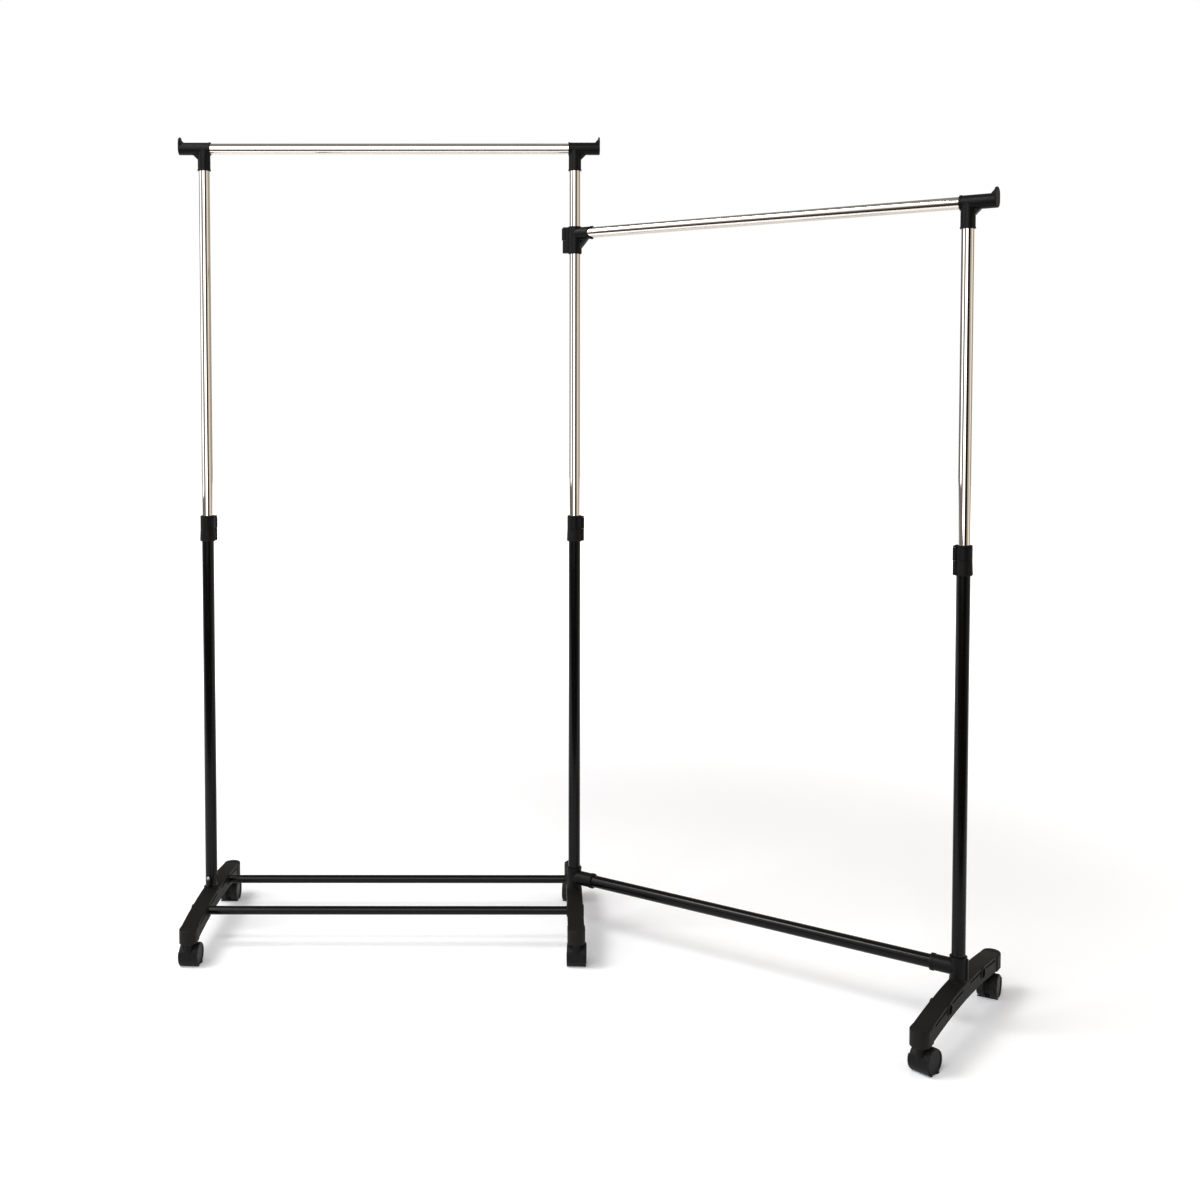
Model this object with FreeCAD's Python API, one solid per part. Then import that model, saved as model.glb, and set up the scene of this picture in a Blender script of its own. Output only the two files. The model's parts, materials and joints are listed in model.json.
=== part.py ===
import FreeCAD, Part
import math
import os

# Two-bay rolling garment rail. Origin: floor level under the axis of the middle
# post. +Z up, +X from the left post towards the middle post, -Y is the front.
# The wing bay hangs on the middle post and turns about its axis. All sizes in mm.

V = FreeCAD.Vector
X_AXIS, Y_AXIS, Z_AXIS = V(1, 0, 0), V(0, 1, 0), V(0, 0, 1)

# ---------------------------------------------------------------- overall sizes
post_spacing = 788.0        # left post axis to middle post axis
wing_reach = 840.0          # middle post axis to right post axis
wing_angle = -34.7          # direction of the wing from +X, degrees
main_rail_z = 1684.5        # axis of the main hanging rail
wing_rail_drop = 179.5      # wing hanging rail below the main one
main_collar_z = 849.0       # underside of the left and middle height collars
wing_collar_z = 837.0       # underside of the right height collar
wing_rail_z = main_rail_z - wing_rail_drop

# ------------------------------------------------------------ named clearances
running = 0.08              # radial play of a part that turns on a pin or a tube
slide_gap = 0.3             # radial play of a chrome tube in a black tube or a collar
face_gap = 0.4              # play between faces that move past each other
seat_gap = 0.05             # play of a fixed tube in its moulded socket
lever_gap = 0.5             # play round a lever knuckle in its pocket
lever_play = 0.8            # play above and below a closed lever
hood_gap = 0.7              # hood to wheel
hood_clear = 2.5            # hood to the underside of the foot

# ------------------------------------------------------------------------ tubes
lower_r = 12.5              # black lower tubes and wing lower bar, outside radius
lower_wall = 1.2
upper_wall = 1.0            # chrome upper tubes and hanging rails
tube_overlap = 160.0        # chrome tube below the collar at full height
glide_plug = 15.0           # plastic glide: plug in the chrome tube
glide_flange = 4.0          # and flange below its end
rod_r = 8.75                # floor rods between the left and middle feet
rod_wall = 1.2
lower_bore = lower_r - lower_wall
upper_r = lower_bore - slide_gap     # chrome tubes slide in the black ones
upper_bore = upper_r - upper_wall

# ---------------------------------------------------------------------- casters
wheel_r = 22.5
wheel_w = 15.3
wheel_gap = 4.2             # middle plane to the inner face of a wheel
wheel_edge = 1.6            # chamfer of the tread
wheel_dish = 1.4            # depth of the dished outer face
wheel_cap = 2.5             # closed outer face over the end of the axle
trail = 17.0                # axle behind the stem axis
axle_r = 3.0
stem_r = 4.0
stem_seat = 8.0             # stem starts this far above the axle
stem_groove = 0.7           # depth of the grip groove near the stem top
hood_wall = 1.8
hood_web_r = 19.5           # centre web between the wheels
hood_boss_wall = 4.0
fender_from, fender_to = 66.0, 212.0    # fender, degrees about the axle from the trail side
# Trail direction of each caster from +X, degrees.
caster_angles = {
    "left_front": 86.0,
    "left_rear": 268.0,
    "middle_front": 86.0,
    "middle_rear": 262.0,
    "right_front": 42.0,
    "right_rear": 240.0,
}

# ------------------------------------------------------------------------- feet
foot_height = 31.0          # depth of the beam, top to underside
foot_rise = 13.0            # rise of the arch from the casters to the post
foot_wall = 3.4
post_wall = 4.0             # beam side face outside the post tube
stem_offset = 199.0         # caster stem axis from the post axis
housing_r = 18.0            # rounded end housings
housing_straight = 18.0     # straight run of the housing towards the post
housing_edge_r = 2.5        # softened top edge of a housing
housing_foot_c = 2.0        # chamfer round the underside of a housing
beam_edge_r = 2.0           # softened long top edges of the beam
channel_end = 34.0          # hollow under the beam stops short of the stem
stem_boss_wall = 3.5
stem_end_gap = 1.0          # socket above the stem
post_collar_wall = 3.5      # raised ring round the post on top of the foot
post_collar_h = 3.0
socket_floor = 4.0          # material left under the post tube
spigot_h = 26.0             # inner spigot above the beam top, inside the post tube
spigot_bore = 5.0
rod_drop = 15.5             # rod axes below the beam top at the post
rod_offset = 94.5           # rod axes in front of and behind the post axis
rod_boss_wall = 3.25
rod_boss_proud = 1.5
rod_web = 3.0               # web left between the two rod sockets of one boss
groove_h = 3.5              # grooves under the top edge of the side faces
groove_depth = 2.2
groove_drop = 6.0           # groove top below the beam top
groove_margin = 2.5         # groove end to the rod boss
groove_end = 30.0           # last groove end short of the caster stem

foot_end_bottom = 2 * wheel_r + hood_gap + hood_wall + hood_clear
foot_end_top = foot_end_bottom + foot_height
foot_top = foot_end_top + foot_rise
foot_under = foot_top - foot_height
foot_half_width = lower_r + post_wall
post_collar_r = lower_r + post_collar_wall
rod_z = foot_top - rod_drop
rod_boss_r = rod_r + rod_boss_wall
stem_top = foot_end_top - foot_wall - 2 * stem_end_gap

# -------------------------------------------------------------- fixings in the feet
bolt_r = 3.0
bolt_head_r = 6.0
bolt_head_h = 3.0
bolt_play = 0.2
bolt_length = 21.0          # shank above the underside of the socket
bolt_nut_h = 5.0
screw_head_r = 3.6
screw_shank_r = 1.8
screw_shank = 5.0
screw_drop = 2.5            # post screw axis below the spigot top

# --------------------------------------------------------- collars and cam levers
collar_h = 55.0
collar_wall_top = 3.0
collar_wall_bottom = 4.0
lever_z = 27.5              # level of the lever above the collar underside
lever_h = 23.0
lever_proud = 0.6           # closed lever outside the collar wall
lever_t = 2.6
lever_sweep = 105.0         # angle the closed lever wraps round the collar
pin_r = 1.9
pin_start = 8.0             # lower end of the pin above the collar underside
pin_cover = 1.0             # pin top below the collar top
knuckle_r = 4.3
pin_outset = 1.2            # lever pin axis outside the collar wall
ear_wall = 3.8              # ear outside the pin axis
split_w = 1.5               # saw cut that lets a clamp half close
collar_split_z = lever_z - 1.0   # top of the black tube inside the collar
# Direction of each lever pin from its post, degrees.
left_ear_angle = 32.0
middle_ear_angle = -12.0
right_ear_angle = 190.0
collar_r_top = lower_r + collar_wall_top
collar_r_bottom = lower_r + collar_wall_bottom
lever_r = collar_r_top + lever_proud
pin_reach = collar_r_top + pin_outset
ear_reach = pin_reach + ear_wall

# ------------------------------------------------------- top connectors and clamp
sleeve_wall = 2.1           # moulded wall round the chrome tubes
sleeve_drop = 46.5          # rail axis down to the sleeve mouth
mouth_rim = 0.8             # rims at the mouths of the sockets
mouth_rim_w = 3.0
stub_length = 49.5          # post axis to the end of the stub
stub_floor = 3.0            # material behind the end of the rail
gusset_size = 9.5
gusset_t = 10.0
tongue_t = 3.0
tongue_rise = 24.0          # tongue top above the rail axis
tongue_edge_r = 0.9
tube_end_gap = 1.0          # wall between the post socket and the rail socket
liner_wall = 1.4
liner_flange = 1.2
clamp_wall = 2.04
clamp_below = 41.0          # clamp underside below the rail axis
clamp_stub = 45.0
clamp_gusset = 32.0         # reach of the clamp gusset from the post axis
clamp_gusset_drop = 31.0
clamp_mouth_dip = 8.0       # depth of the scooped mouth
clamp_pin_outset = 5.9
clamp_knuckle_r = 5.2
clamp_ear_wall = 5.5
clamp_ear_angle = 212.0     # from the wing direction
clamp_lever_sweep = 58.0
clamp_lever_t = 3.6
clamp_pad = 2.0             # thumb pad outside the clamp lever knuckle
clamp_lever_cover = 1.2     # wall of the ear above the clamp lever
sleeve_r = upper_r + sleeve_wall
liner_r = upper_r + running + liner_wall
clamp_r = liner_r + running + clamp_wall
clamp_above = sleeve_r + 0.4
clamp_pin_reach = clamp_r + clamp_pin_outset
clamp_ear_reach = clamp_pin_reach + clamp_ear_wall
clamp_rail_start = clamp_r + 2.5        # floor of the rail socket in the clamp
clamp_lever_z0 = lever_z - clamp_below
clamp_lever_z1 = clamp_above - clamp_lever_cover - lever_play
clamp_pin_start = pin_start - clamp_below

# -------------------------------------------------------------------------- tees
tee_height = 42.0
tee_wall = 3.3              # rims of the tees; the sleeve between them is thinner
tee_step = 0.6
tee_rim = 6.0
tee_stub_rise = 20.4        # wing bar axis above the tee underside
tee_stub_wall = 2.2
tee_stub_length = 50.0
tee_floor = 1.4             # between the post wall and the end of the bar
rib_t = 4.0
rib_proud = 2.4
tee_z0 = foot_top + post_collar_h + face_gap
tee_top = tee_z0 + tee_height
wing_bar_z = tee_z0 + tee_stub_rise
tee_r = lower_r + tee_wall
tee_stub_r = lower_r + tee_stub_wall

wing_dir = V(math.cos(math.radians(wing_angle)), math.sin(math.radians(wing_angle)), 0)
LEFT_POST = V(-post_spacing, 0, 0)
MIDDLE_POST = V(0, 0, 0)
RIGHT_POST = wing_dir * wing_reach


# --------------------------------------------------------------- basic solids
def cyl(radius, length, base=V(0, 0, 0), axis=Z_AXIS):
    return Part.makeCylinder(radius, length, base, axis)


def ring(outer, inner, length, base=V(0, 0, 0), axis=Z_AXIS):
    """A straight tube: outer cylinder less a coaxial inner one."""
    return cyl(outer, length, base, axis).cut(cyl(inner, length, base, axis))


def block(x0, x1, y0, y1, z0, z1):
    return Part.makeBox(x1 - x0, y1 - y0, z1 - z0, V(x0, y0, z0))


def turned(points, axis_point=V(0, 0, 0), axis=Z_AXIS):
    """Revolve a closed profile of points in the XZ plane about an axis."""
    face = Part.Face(Part.makePolygon(points + [points[0]]))
    return face.revolve(axis_point, axis, 360)


def prism(points, vector):
    """Extrude a closed polygon along a vector."""
    return Part.Face(Part.makePolygon(points + [points[0]])).extrude(vector)


def sector(radius, angle0, angle1, z0, z1):
    """Cylinder sector about Z between two angles in degrees."""
    solid = Part.makeCylinder(radius, z1 - z0, V(0, 0, z0), Z_AXIS, angle1 - angle0)
    solid.rotate(V(0, 0, 0), Z_AXIS, angle0)
    return solid


def fuse(shapes):
    return shapes[0].multiFuse(shapes[1:]).removeSplitter()


def placed(shape, at, angle=0.0):
    """Copy of a shape turned about Z and moved."""
    copy = shape.copy()
    copy.rotate(V(0, 0, 0), Z_AXIS, angle)
    copy.translate(at)
    return copy


# ----------------------------------------------------------------------- feet
def arch_z(y, level):
    """Height of the beam arch through `level` over the post."""
    radius = (stem_offset ** 2 + foot_rise ** 2) / (2 * foot_rise)
    return level - radius + math.sqrt(radius ** 2 - y ** 2)


def arch_band(top, bottom, half_length, half_width):
    """Solid between two arches of the beam, extruded across its width."""
    def arc(level):
        ends = [V(-half_width, side * half_length, arch_z(half_length, level)) for side in (-1, 1)]
        crown = V(-half_width, 0, level)
        return Part.Arc(ends[0], crown, ends[1]).toShape(), ends
    upper, upper_ends = arc(top)
    lower, lower_ends = arc(bottom)
    sides = [Part.makeLine(upper_ends[i], lower_ends[i]) for i in (0, 1)]
    face = Part.Face(Part.Wire(Part.__sortEdges__([upper, sides[1], lower, sides[0]])))
    return face.extrude(V(2 * half_width, 0, 0))


def end_housing(side):
    """Rounded housing over one caster, softened on top and chamfered underneath."""
    body = cyl(housing_r, foot_height, V(0, side * stem_offset, foot_end_bottom))
    inner = side * (stem_offset - housing_straight)
    y0, y1 = sorted((inner, side * stem_offset))
    body = fuse([body, block(-housing_r, housing_r, y0, y1, foot_end_bottom, foot_end_top)])
    rim = [e for e in body.Edges if e.BoundBox.ZMin > foot_end_top - 0.01]
    body = body.makeFillet(housing_edge_r, rim)
    hem = [e for e in body.Edges if e.BoundBox.ZMax < foot_end_bottom + 0.01]
    return body.makeChamfer(housing_foot_c, hem)


def foot():
    """Arched moulded foot: hollow beam, two housings, post socket and rod sockets."""
    beam = arch_band(foot_top, foot_under, stem_offset, foot_half_width)
    long_edges = [e for e in beam.Edges if e.Curve.TypeId == "Part::GeomCircle"
                  and e.BoundBox.ZMax > foot_top - 0.01]
    beam = beam.makeFillet(beam_edge_r, long_edges)
    body = fuse([beam, end_housing(-1), end_housing(1)])
    channel = arch_band(foot_top - foot_wall, foot_under - foot_height, stem_offset - channel_end,
                        foot_half_width - foot_wall)
    body = body.cut(channel)
    for side in (-1, 1):
        mouth = V(0, side * stem_offset, foot_end_bottom)
        cavity = cyl(housing_r - foot_wall, foot_height - foot_wall, mouth)
        stem_boss = cyl(stem_r + stem_boss_wall, foot_height - foot_wall, mouth)
        body = body.cut(cavity.cut(stem_boss))
        body = body.cut(cyl(stem_r + running, stem_top + stem_end_gap - foot_end_bottom, mouth))
    half_boss = foot_half_width + rod_boss_proud
    extras = [cyl(foot_half_width - seat_gap, foot_height, V(0, 0, foot_under)),
              cyl(post_collar_r, foot_wall + post_collar_h, V(0, 0, foot_top - foot_wall))]
    for side in (-1, 1):
        extras.append(cyl(rod_boss_r, 2 * half_boss, V(-half_boss, side * rod_offset, rod_z), X_AXIS))
    body = fuse([body] + extras)
    floor_z = foot_under + socket_floor
    socket = cyl(lower_r + seat_gap, foot_height + post_collar_h, V(0, 0, floor_z))
    spigot = ring(lower_bore - seat_gap, spigot_bore, foot_top + spigot_h - floor_z, V(0, 0, floor_z))
    body = fuse([body.cut(socket), spigot])
    body = body.cut(cyl(bolt_r + bolt_play, socket_floor, V(0, 0, foot_under)))
    for side_x in (-1, 1):
        for side_y in (-1, 1):
            mouth = V(side_x * rod_web / 2, side_y * rod_offset, rod_z)
            body = body.cut(cyl(rod_r + seat_gap, half_boss, mouth, X_AXIS * side_x))
    return body.cut(Part.makeCompound(foot_grooves()))


def foot_grooves():
    """Long shallow grooves under the top edge of both side faces."""
    band = arch_band(foot_top - groove_drop, foot_top - groove_drop - groove_h,
                     stem_offset - groove_end, foot_half_width + groove_depth)
    spans = [(post_collar_r + 2 * groove_margin, rod_offset - rod_boss_r - groove_margin),
             (rod_offset + rod_boss_r + groove_margin, stem_offset - groove_end)]
    cuts = []
    for side_x in (-1, 1):
        x0, x1 = side_x * foot_half_width - groove_depth, side_x * foot_half_width + groove_depth
        for side_y in (-1, 1):
            for near, far in spans:
                y0, y1 = sorted((side_y * near, side_y * far))
                cuts.append(band.common(block(x0, x1, y0, y1, 0, foot_top)))
    return cuts


def foot_bolt():
    """Bolt from below through the socket floor into the spigot bore."""
    head_z = foot_under - bolt_head_h
    head = cyl(bolt_head_r, bolt_head_h, V(0, 0, head_z))
    head = head.makeFillet(bolt_head_h / 4, [e for e in head.Edges if e.BoundBox.ZMax < head_z + 0.01])
    shank = cyl(bolt_r, bolt_length, V(0, 0, foot_under))
    nut = cyl(spigot_bore, bolt_nut_h, V(0, 0, foot_under + bolt_length - 2 * bolt_nut_h))
    return fuse([head, shank, nut])


# ---------------------------------------------------------------------- casters
def caster_hood():
    """Hood over a twin wheel: centre web, front fender and stem boss."""
    outer = wheel_r + hood_gap + hood_wall
    half = wheel_gap + wheel_w
    web_half = wheel_gap - face_gap
    axle = V(trail, 0, wheel_r)
    fender = Part.makeCylinder(outer, 2 * half, axle - Y_AXIS * half, Y_AXIS, fender_to - fender_from)
    start = fender.Vertexes[0].Point
    fender.rotate(axle, Y_AXIS, -fender_to)
    web = cyl(hood_web_r, 2 * web_half, axle - Y_AXIS * web_half, Y_AXIS)
    boss_top = foot_end_bottom - hood_clear / 2
    boss = cyl(stem_r + hood_boss_wall, boss_top - wheel_r, V(0, 0, wheel_r))
    body = fuse([fender, web, boss])
    for side in (-1, 1):
        pocket = cyl(wheel_r + hood_gap, 2 * wheel_w, axle + Y_AXIS * (side * web_half), Y_AXIS * side)
        body = body.cut(pocket)
    body = body.cut(cyl(axle_r, 2 * half, axle - Y_AXIS * half, Y_AXIS))
    return body.cut(cyl(stem_r, boss_top, V(0, 0, wheel_r + stem_seat)))


def caster_wheel(side):
    """Wheel with a blind bore, a plain dished face inside a raised rim, and a chamfered tread."""
    half = wheel_w / 2
    rim = wheel_r - wheel_edge
    face = half - wheel_dish
    profile = [V(axle_r + running, 0, -half), V(rim, 0, -half), V(wheel_r, 0, -half + wheel_edge),
               V(wheel_r, 0, half - wheel_edge), V(rim, 0, half), V(rim - wheel_edge, 0, half),
               V(rim - 2 * wheel_edge, 0, face), V(0, 0, face), V(0, 0, face - wheel_cap),
               V(axle_r + running, 0, face - wheel_cap)]
    wheel = turned(profile)
    wheel.rotate(V(0, 0, 0), X_AXIS, -90 * side)
    wheel.translate(V(trail, side * (wheel_gap + half), wheel_r))
    return wheel


def caster_pins():
    """Swivel stem with a grip groove, and the axle that ends inside both wheels."""
    stem_z = wheel_r + stem_seat
    stem = cyl(stem_r, stem_top - stem_z, V(0, 0, stem_z))
    stem = stem.makeFillet(stem_r / 4, [e for e in stem.Edges if e.BoundBox.ZMin > stem_top - 0.01])
    stem = stem.cut(ring(2 * stem_r, stem_r - stem_groove, stem_r / 2, V(0, 0, stem_top - 2 * stem_r)))
    half = wheel_gap + wheel_w - wheel_dish - wheel_cap - face_gap
    axle = cyl(axle_r, 2 * half, V(trail, -half, wheel_r), Y_AXIS)
    return Part.makeCompound([stem, axle])


# --------------------------------------------------- cam lever and its two bodies
def ear_block(reach, pin_x, half_width, z0, z1):
    """Lug that carries the lever pin, from the sleeve wall outwards."""
    lug = block(0, pin_x, -half_width, half_width, z0, z1)
    nose = cyl(reach - pin_x, z1 - z0, V(pin_x, 0, z0))
    return fuse([lug, nose])


def lever_slot(pin_x, knuckle, sweep, inner, z0, z1):
    """Space the closed lever and its knuckle take out of a clamp body."""
    z0, z1 = z0 - lever_play, z1 + lever_play
    slot = sector(2 * pin_x, -sweep - 6.0, 4.0, z0, z1).cut(cyl(inner, z1 - z0, V(0, 0, z0)))
    return fuse([slot, cyl(knuckle + lever_gap, z1 - z0, V(pin_x, 0, z0))])


def cam_lever(pin_x, knuckle, outer, thick, sweep, z0, z1):
    """Lever: knuckle round the pin, a curved grip that wraps the sleeve, a rounded tip."""
    grip = sector(outer, -sweep, 0.0, z0, z1).cut(cyl(outer - thick, z1 - z0, V(0, 0, z0)))
    tip = math.radians(-sweep)
    tip_r = thick / 2
    bead = cyl(tip_r, z1 - z0, V(math.cos(tip), math.sin(tip), 0) * (outer - tip_r) + V(0, 0, z0))
    lever = fuse([cyl(knuckle, z1 - z0, V(pin_x, 0, z0)), grip, bead])
    return lever.cut(cyl(pin_r + running, z1 - z0, V(pin_x, 0, z0)))


def lever_pin(pin_x, z0, z1):
    return cyl(pin_r, z1 - z0, V(pin_x, 0, z0))


def height_collar():
    """Split collar: tapered lower half on the black tube, clamping upper half."""
    edge = (collar_r_bottom - lower_r) / 3
    bore = upper_r + slide_gap
    outline = [V(lower_r, 0, 0), V(collar_r_bottom - edge, 0, 0), V(collar_r_bottom, 0, 1.5 * edge),
               V(collar_r_top, 0, collar_split_z), V(collar_r_top, 0, collar_h - edge / 2),
               V(collar_r_top - edge / 2, 0, collar_h), V(bore, 0, collar_h),
               V(bore, 0, collar_split_z), V(lower_r, 0, collar_split_z)]
    z1 = lever_z + lever_h
    ear = ear_block(ear_reach, pin_reach, knuckle_r, edge, collar_h - edge / 2)
    body = fuse([turned(outline), ear.cut(cyl((lower_r + collar_r_top) / 2, collar_h))])
    grip_gap = lever_r - lever_t - face_gap
    body = body.cut(lever_slot(pin_reach, knuckle_r, lever_sweep, grip_gap, lever_z, z1))
    cut_y = knuckle_r + split_w
    body = body.cut(block(upper_r - split_w, 2 * collar_r_top, cut_y, cut_y + split_w,
                          collar_split_z + face_gap, collar_h))
    return body.cut(cyl(pin_r, collar_h, V(pin_reach, 0, pin_start)))


def collar_lever():
    return cam_lever(pin_reach, knuckle_r, lever_r, lever_t, lever_sweep, lever_z, lever_z + lever_h)


def handed(shape, mirrored):
    """Mirror a shape across XZ when the lever winds the other way."""
    return shape.mirror(V(0, 0, 0), Y_AXIS) if mirrored else shape


# ----------------------------------------------------------------- top connector
def top_connector():
    """Elbow over a post: rail socket along X, post socket below, end tongue."""
    inboard = sleeve_r + mouth_rim
    stub = cyl(sleeve_r, stub_length + inboard, V(-inboard, 0, 0), X_AXIS)
    rim = cyl(inboard, mouth_rim_w, V(-inboard, 0, 0), X_AXIS)
    drop = cyl(sleeve_r, sleeve_drop, V(0, 0, -sleeve_drop))
    lip = cyl(inboard, mouth_rim_w, V(0, 0, -sleeve_drop))
    root, reach = sleeve_r - sleeve_wall, sleeve_r + gusset_size
    gusset = prism([V(root, -gusset_t / 2, -root), V(reach, -gusset_t / 2, -root),
                    V(reach, -gusset_t / 2, -sleeve_r), V(sleeve_r, -gusset_t / 2, -reach),
                    V(root, -gusset_t / 2, -reach)], Y_AXIS * gusset_t)
    rise = tongue_rise - sleeve_r
    tongue = fuse([cyl(sleeve_r, tongue_t, V(stub_length, 0, 0), X_AXIS),
                   cyl(sleeve_r, tongue_t, V(stub_length, 0, rise), X_AXIS),
                   block(stub_length, stub_length + tongue_t, -sleeve_r, sleeve_r, 0, rise)])
    outline = [e for e in tongue.Edges if e.BoundBox.XMin > stub_length + tongue_t - 0.01]
    tongue = tongue.makeFillet(tongue_edge_r, outline)
    half = sleeve_r - 2 * sleeve_wall
    foot_x = stub_length - 2 * tongue_t
    saddle = prism([V(foot_x, -half, half), V(stub_length, -half, half),
                    V(stub_length, -half, sleeve_r + 2 * tongue_t), V(foot_x, -half, sleeve_r)],
                   Y_AXIS * (2 * half))
    body = fuse([stub, rim, drop, lip, gusset, tongue, saddle])
    body = body.cut(cyl(upper_r, stub_length - stub_floor + inboard, V(-inboard, 0, 0), X_AXIS))
    return body.cut(cyl(upper_r, sleeve_drop - upper_r - tube_end_gap, V(0, 0, -sleeve_drop)))


# ------------------------------------------------------------------ swivel clamp
def swivel_clamp():
    """Split sleeve round the middle post with a socket for the wing rail."""
    height = clamp_below + clamp_above
    sleeve = cyl(clamp_r, height, V(0, 0, -clamp_below))
    stub = cyl(sleeve_r, clamp_stub, V(0, 0, 0), X_AXIS)
    lip = cyl(sleeve_r + mouth_rim, mouth_rim_w, V(clamp_stub - mouth_rim_w, 0, 0), X_AXIS)
    ear = ear_block(clamp_ear_reach, clamp_pin_reach, clamp_ear_reach - clamp_pin_reach,
                    -clamp_below, clamp_above)
    body = fuse([sleeve, stub, lip, clamp_web(), placed(ear, V(0, 0, 0), clamp_ear_angle)])
    slot = lever_slot(clamp_pin_reach, clamp_knuckle_r, clamp_lever_sweep, clamp_r + face_gap,
                      clamp_lever_z0, clamp_lever_z1)
    split = block(upper_r, 2 * clamp_ear_reach, -split_w / 2, split_w / 2, -clamp_below, clamp_above)
    pin_hole = cyl(pin_r, height, V(clamp_pin_reach, 0, clamp_pin_start))
    for cut in (slot, split, pin_hole):
        body = body.cut(placed(cut, V(0, 0, 0), clamp_ear_angle))
    body = body.cut(cyl(liner_r + running, height, V(0, 0, -clamp_below)))
    body = body.cut(cyl(upper_r, clamp_stub, V(clamp_rail_start, 0, 0), X_AXIS))
    mouth_r = sleeve_r + mouth_rim + split_w
    scoop = cyl(mouth_r, 4 * sleeve_r, V(clamp_stub + mouth_r - clamp_mouth_dip, -2 * sleeve_r, 0), Y_AXIS)
    return body.cut(scoop)


def clamp_web():
    """Gusset under the stub with a shallow triangular pocket in each side."""
    root = -sleeve_r + sleeve_wall
    half = gusset_t / 2
    web = prism([V(clamp_r - clamp_wall, -half, root), V(clamp_gusset, -half, root),
                 V(clamp_gusset, -half, -sleeve_r), V(clamp_r, -half, -clamp_gusset_drop),
                 V(clamp_r - clamp_wall, -half, -clamp_gusset_drop)], Y_AXIS * gusset_t)
    inset = clamp_r + 2.0
    top = -sleeve_r - 1.5
    leg = clamp_gusset - inset - 8.0
    for side in (-1, 1):
        pocket = prism([V(inset, side * 1.5, top), V(inset + leg, side * 1.5, top),
                        V(inset, side * 1.5, top - leg)], Y_AXIS * (side * half))
        web = web.cut(pocket)
    return web


def clamp_liner():
    """Split nylon bush between the chrome post and the clamp, flanged at both ends."""
    bottom = -clamp_below - face_gap - liner_flange
    top = clamp_above + face_gap + liner_flange
    bore = upper_r + running
    flange_r = liner_r + liner_flange
    body = fuse([ring(liner_r, bore, top - bottom, V(0, 0, bottom)),
                 ring(flange_r, bore, liner_flange, V(0, 0, top - liner_flange)),
                 ring(flange_r, bore, liner_flange, V(0, 0, bottom))])
    return body.cut(block(upper_r / 2, 2 * upper_r, -split_w / 2, split_w / 2, bottom, top))


def clamp_lever():
    """Short cam lever of the swivel clamp, with a quarter-round thumb pad behind the knuckle."""
    z0, z1 = clamp_lever_z0, clamp_lever_z1
    outer = clamp_r + face_gap + lever_proud + clamp_lever_t
    lever = cam_lever(clamp_pin_reach, clamp_knuckle_r, outer, clamp_lever_t, clamp_lever_sweep, z0, z1)
    pad = placed(sector(clamp_knuckle_r + clamp_pad, -90.0, 0.0, z0, z1), V(clamp_pin_reach, 0, 0))
    return fuse([lever, pad]).cut(cyl(pin_r + running, z1 - z0, V(clamp_pin_reach, 0, z0)))


# -------------------------------------------------------------------------- tees
def bottom_tee(post_bore, with_rib):
    """Sleeve round a post with a socket for the wing lower bar along +X."""
    sleeve = cyl(tee_r - tee_step, tee_height, V(0, 0, tee_z0))
    rim = cyl(tee_r, tee_rim, V(0, 0, tee_top - tee_rim))
    foot_rim = cyl(tee_r, tee_rim / 2, V(0, 0, tee_z0))
    stub = cyl(tee_stub_r, tee_stub_length, V(0, 0, wing_bar_z), X_AXIS)
    lip = cyl(tee_r, tee_rim, V(tee_stub_length - tee_rim, 0, wing_bar_z), X_AXIS)
    parts = [sleeve, rim, foot_rim, stub, lip]
    if with_rib:
        parts.append(block(-tee_r - rib_proud, -lower_r - tee_wall / 2, -rib_t / 2, rib_t / 2,
                           tee_z0, tee_top - rib_proud))
    body = fuse(parts)
    body = body.cut(cyl(post_bore, tee_height, V(0, 0, tee_z0)))
    return body.cut(cyl(lower_r, tee_stub_length, V(tee_r + tee_floor, 0, wing_bar_z), X_AXIS))


# ------------------------------------------------------------- tubes and fittings
def upper_tube(collar_z, rail_z):
    """Chrome tube from inside the lower tube to the socket under the rail."""
    bottom = collar_z - tube_overlap
    top = rail_z - upper_r - tube_end_gap
    return ring(upper_r, upper_bore, top - bottom, V(0, 0, bottom))


def lower_tube(collar_z):
    """Black tube from the foot socket to the middle of the collar."""
    bottom = foot_under + socket_floor
    return ring(lower_r, lower_bore, collar_z + collar_split_z - bottom, V(0, 0, bottom))


def tube_glide(collar_z):
    """Plastic plug that guides the lower end of the chrome tube."""
    bottom = collar_z - tube_overlap
    return fuse([cyl(upper_bore, glide_plug, V(0, 0, bottom)),
                 cyl(lower_bore - running, glide_flange, V(0, 0, bottom - glide_flange))])


def hanging_rail(start, end):
    """Chrome rail along X between two socket bottoms, rail axis at z = 0."""
    return ring(upper_r, upper_bore, end - start, V(start, 0, 0), X_AXIS)


def post_screw():
    """Domed screw that locks the left post on its spigot."""
    z = foot_top + spigot_h - screw_drop
    size = 2 * screw_head_r
    outside = block(lower_r, lower_r + size, -size, size, z - size, z + size)
    head = Part.makeSphere(screw_head_r, V(lower_r, 0, z)).common(outside)
    shank = cyl(screw_shank_r, screw_shank, V(lower_r - screw_shank + face_gap, 0, z), X_AXIS)
    return fuse([head, shank])


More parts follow.
